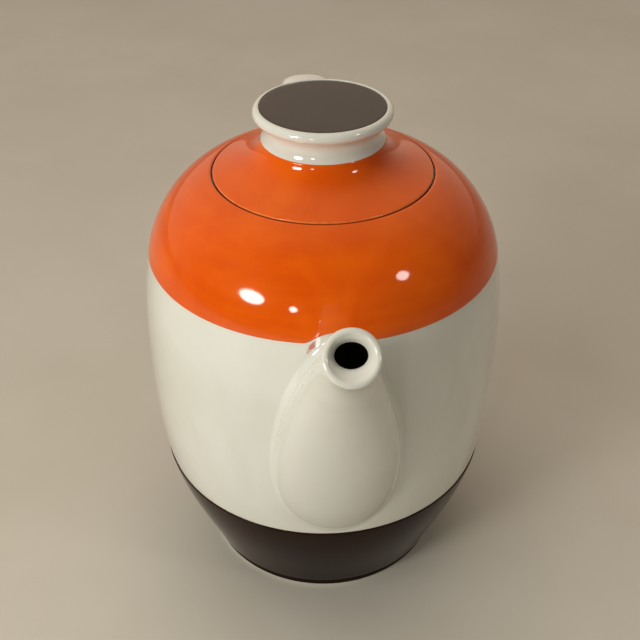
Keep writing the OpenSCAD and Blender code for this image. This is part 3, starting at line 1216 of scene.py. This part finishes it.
@dataclass(frozen=True)
class SmoothFloor:
    """A pale matt floor with a faint grain."""

    name: str = "pale_matt_floor"
    colour: str = "#c9c2b4"
    cloud: str = "#c3bbac"

    def build(self) -> bpy.types.Material:
        """Build the material."""
        g = Graph(self.name)
        colour = g.mix(g.ramp(g.noise(120, 4), 0.3, 0.7), linear(self.colour), linear(self.cloud))
        bump = g.add("ShaderNodeBump", {"Height": g.noise(1.2, 3), "Distance": 0.00002}).outputs[0]
        shader = g.add("ShaderNodeBsdfPrincipled", {
            "Base Color": colour, "Roughness": 0.55, "Normal": bump})
        g.add("ShaderNodeOutputMaterial", {"Surface": shader.outputs[0]})
        return g.material


# ---------------------------------------------------------------- camera, floor and light


@dataclass(frozen=True)
class SoftBox:
    """A soft box that faces the pot's shoulder. Lengths are in metres and the power is in watts.

    A box that isn't mirrored lights the pot but doesn't show in its gloss.
    """

    name: str
    direction: tuple[float, float, float]
    distance: float
    size: tuple[float, float]
    power: float
    mirrored: bool = True
    colour: tuple[float, float, float] = (0.99, 1.0, 0.965)
    target: tuple[float, float, float] = (0.0, 0.0, 0.12)

    def build(self) -> None:
        """Place the light."""
        data = bpy.data.lights.new(self.name, "AREA")
        data.shape, data.size, data.size_y = "ELLIPSE", *self.size
        data.energy, data.color = self.power, self.colour
        obj = bpy.data.objects.new(self.name, data)
        bpy.context.scene.collection.objects.link(obj)
        target = Vector(self.target)
        obj.visible_glossy = self.mirrored
        obj.location = target + Vector(self.direction).normalized() * self.distance
        obj.rotation_euler = (target - obj.location).to_track_quat("-Z", "Y").to_euler()


@dataclass(frozen=True)
class Studio:
    """Floor, camera and soft lights. Angles are in degrees and lengths in metres."""

    camera_turn: float = -4.5
    camera_back: float = 0.3064
    camera_up: float = 0.3188
    pitch: float = 35.89
    yaw: float = -0.21
    roll: float = 0.13
    lens: float = 56.25
    floor_size: float = 24.0
    wall_direction: tuple[float, float, float] = (-0.15, 0.9, 0.42)
    wall_colour: str = "#f2dcc4"
    wall_glow: float = 0.75
    front_colour: str = "#d3cfca"
    front_glow: float = 0.13
    boxes: tuple[SoftBox, ...] = (
        SoftBox("left_box", (-0.73, -0.63, 0.34), 0.95, (0.26, 0.17), 3.0),
        SoftBox("front_box", (-0.36, -0.88, 0.30), 1.1, (0.09, 0.09), 0.5),
        SoftBox("right_box", (0.68, -0.52, 0.54), 1.1, (0.15, 0.15), 0.8),
        SoftBox("left_fill", (-0.9, -0.6, 0.55), 1.3, (1.2, 1.0), 7.1, mirrored=False),
        SoftBox("top_fill", (-0.15, 0.1, 1.0), 1.5, (1.3, 1.3), 4.5, mirrored=False))

    def camera(self) -> None:
        """Place the camera and make it the scene's."""
        data = bpy.data.cameras.new("camera")
        data.lens, data.sensor_width, data.clip_start = self.lens, 36.0, 0.01
        obj = bpy.data.objects.new("camera", data)
        bpy.context.scene.collection.objects.link(obj)
        turn, yaw, tip, roll = (Matrix.Rotation(math.radians(angle), 4, axis) for angle, axis in (
            (self.camera_turn, "Z"), (-self.yaw, "Z"), (90 - self.pitch, "X"), (-self.roll, "Z")))
        place = Matrix.Translation((0, -self.camera_back, self.camera_up))
        obj.matrix_world = turn @ place @ yaw @ tip @ roll
        bpy.context.scene.camera = obj

    def floor(self) -> None:
        """Lay the floor."""
        bpy.ops.object.select_all(action="DESELECT")
        bpy.ops.mesh.primitive_plane_add(size=self.floor_size, location=(0, 0, 0))
        obj = bpy.context.object
        obj.name = "floor"
        obj.data.materials.append(SmoothFloor().build())

    def air(self) -> None:
        """Light the pot softly from all round, warmer and brighter from the pale wall behind it."""
        world = bpy.data.worlds.new("studio_air")
        bpy.context.scene.world = world
        world.use_nodes = True
        tree = world.node_tree
        place = tree.nodes.new("ShaderNodeTexCoord")
        facing = tree.nodes.new("ShaderNodeVectorMath")
        facing.operation = "DOT_PRODUCT"
        facing.inputs[1].default_value = Vector(self.wall_direction).normalized()
        share = tree.nodes.new("ShaderNodeMapRange")
        share.interpolation_type = "SMOOTHSTEP"
        share.inputs["From Min"].default_value, share.inputs["From Max"].default_value = -0.1, 0.95
        colour = tree.nodes.new("ShaderNodeMix")
        colour.data_type = "RGBA"
        colour.inputs[6].default_value = [c * self.front_glow for c in linear(self.front_colour)]
        colour.inputs[7].default_value = [c * self.wall_glow for c in linear(self.wall_colour)]
        background = tree.nodes["Background"].inputs[0]
        for start, end in ((place.outputs["Generated"], facing.inputs[0]),
                           (facing.outputs["Value"], share.inputs[0]), (share.outputs[0], colour.inputs[0]),
                           (colour.outputs[2], background)):
            tree.links.new(start, end)

    def build(self) -> None:
        """Set up the whole studio."""
        self.floor()
        for box in self.boxes:
            box.build()
        self.air()
        self.camera()
        bpy.context.scene.view_settings.view_transform = "Standard"


# ---------------------------------------------------------------- the whole


@dataclass
class CoffeePot:
    """The whole pot, with the sub-assemblies that share its wall."""

    spout_out: float = 37.6
    spout_up: float = 23.8
    crest_out: float = 24.4
    crest_up: float = 21.0
    grip_out: float = 44.4
    grip_down: float = 5.5

    def __post_init__(self) -> None:
        """Take the shared sizes from the frame."""
        wall = Wall(hip_z=high("base_glaze", 2), band_z=low("shoulder_glaze", 2), rim_z=high("body", 2))
        self.wall = wall
        self.barrel = Barrel(wall)
        self.spout = Spout(wall, Vector((0, -wall.band_r - self.spout_out, wall.band_z + self.spout_up)))
        self.handle = Handle(wall, crest=(wall.band_r + self.crest_out, wall.band_z + self.crest_up),
                             grip=(wall.band_r + self.grip_out, wall.band_z - self.grip_down))
        self.lid = Lid(rim_z=wall.rim_z, neck_z=high("lid", 2), knob_z=high("knob", 2),
                       collar_z=low("lid", 2), lid_r=high("lid", 0), rim_r=high("knob", 0))

    def pot_pieces(self) -> list[Piece]:
        """Build and dress the body, its coats, the spout and the handle."""
        # The ring at the top of the body's opening is painted shade in the seam under the lid.
        body_white = ClearGlazedPorcelain(
            "white_porcelain_body", bare_rings=((40, 47, -1, 0.35), (34, 38.1, 157, 158.1)), tide=96,
            seam_shade_ring=(38.05, 38.6, 157.7), smear_at=(-8.2, 131.6))
        # The orange coat's pale edges are thin glaze and also a painted highlight on each edge.
        orange = ColouredGlaze("orange_glaze_shoulder", edge_z=(self.wall.band_z,),
                               edge_r=(self.wall.opening_r,))
        brown = ColouredGlaze("dark_brown_glaze_base", deep="#1b0c07", light="#26120b", edge_tone="#4a2012",
                              speck="#4a2a1a", mirror=0.1, edge_z=(self.wall.hip_z,), edge_share=0.5)
        # The spout's bore is darkened with depth: painted shade.
        spout_white = ClearGlazedPorcelain("white_porcelain_spout", has_bore_shade=True)
        handle_white = ClearGlazedPorcelain("white_porcelain_handle")
        return [
            Piece(self.barrel.body(), "body", Body.POT, Slot.WHITE, body_white.build()),
            Piece(self.barrel.shoulder_coat(), "shoulder_glaze", Body.POT, Slot.ORANGE, orange.build()),
            Piece(self.barrel.base_coat(), "base_glaze", Body.POT, Slot.BROWN, brown.build()),
            Piece(self.spout.build(), "spout", Body.POT, Slot.WHITE, spout_white.build()),
            Piece(self.handle.build(), "handle", Body.POT, Slot.WHITE, handle_white.build()),
        ]

    def lid_pieces(self) -> list[Piece]:
        """Build and dress the lid, its coat, the knob and its disc."""
        # The ring on the lid's edge is painted shade in the seam.
        lid_white = ClearGlazedPorcelain("white_porcelain_lid", bare_rings=((33, 37.4, 156.5, 158.1),),
                                         seam_shade_ring=(37.3, 38.0, 158.0))
        # The lid coat's pale outer edge is thin glaze and also a painted highlight on the edge.
        orange = ColouredGlaze("orange_glaze_lid", edge_r=(self.lid.lid_r,))
        knob_white = ClearGlazedPorcelain("white_porcelain_knob")
        brown = ColouredGlaze("dark_brown_glaze_disc", deep="#2c211b", light="#362a23", edge_tone="#17100c",
                              speck="#1a120e", gloss=0.2, edge_share=0.9,
                              edge_r=(self.lid.rim_r - self.lid.rim_t / 2 - 0.3,))
        return [
            Piece(self.lid.shell(), "lid", Body.LID, Slot.WHITE, lid_white.build()),
            Piece(self.lid.coat(), "lid_glaze", Body.LID, Slot.ORANGE, orange.build()),
            Piece(self.lid.knob(), "knob", Body.LID, Slot.WHITE, knob_white.build()),
            Piece(self.lid.disc(), "knob_glaze", Body.LID, Slot.BROWN, brown.build()),
        ]


def main() -> None:
    """Build the pieces and the studio."""
    logging.basicConfig(level=logging.INFO, format="%(message)s")
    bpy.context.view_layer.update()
    pot = CoffeePot()
    for piece in pot.pot_pieces() + pot.lid_pieces():
        piece.place()
    Studio().build()


if __name__ == "__main__":
    main()
